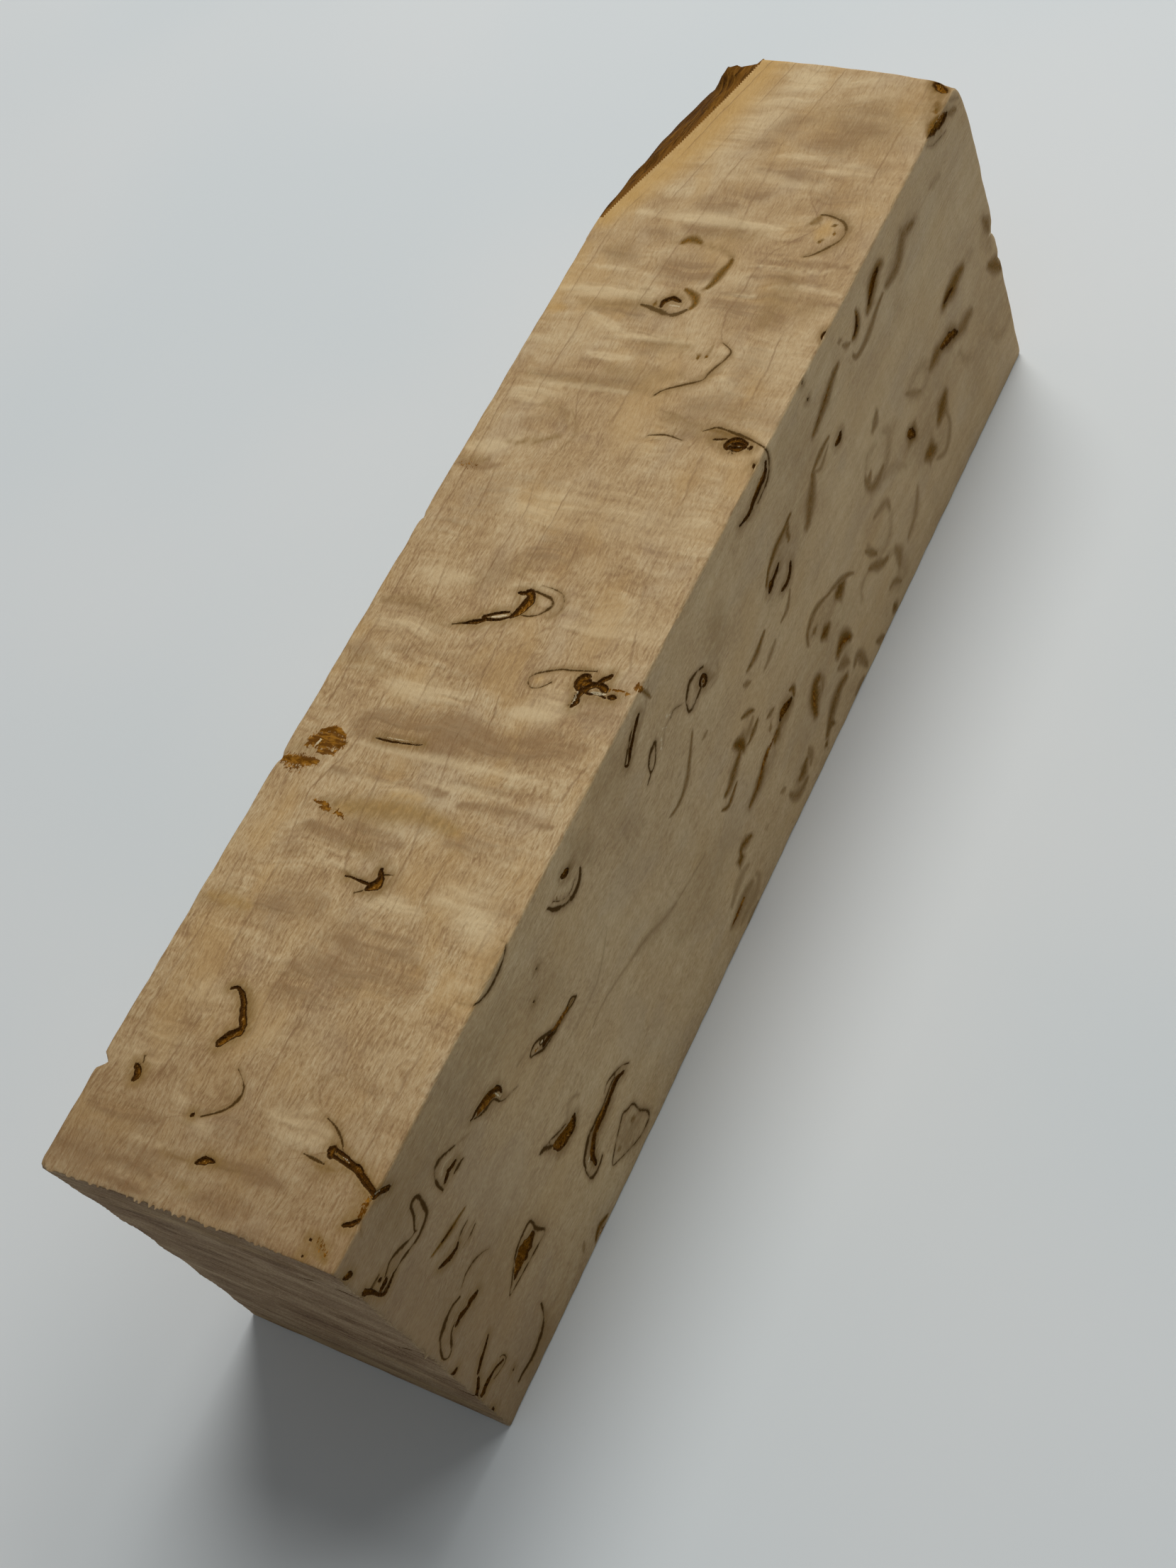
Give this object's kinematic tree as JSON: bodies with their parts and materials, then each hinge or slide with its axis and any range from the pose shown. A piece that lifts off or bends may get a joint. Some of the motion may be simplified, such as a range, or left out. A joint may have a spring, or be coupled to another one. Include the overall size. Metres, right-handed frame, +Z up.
{
  "type": "masur birch block",
  "caption": "Rectangular sawn blank of masur birch for a knife handle, with bark flecks scattered through its curly grain and a strip of bark left along one corner.",
  "frame": {"origin": "on the resting face, under the middle of the block", "axes": "+X along the block from the near saw cut to the far one, +Y to its left side, +Z up"},
  "size_m": [0.132, 0.03, 0.04],
  "materials": {
    "masur_birch": "raw sawn wood, matt, with dark crumbly bark flecks"
  },
  "bodies": {
    "root": {"masur_birch_block": "masur_birch"}
  },
  "joints": []
}
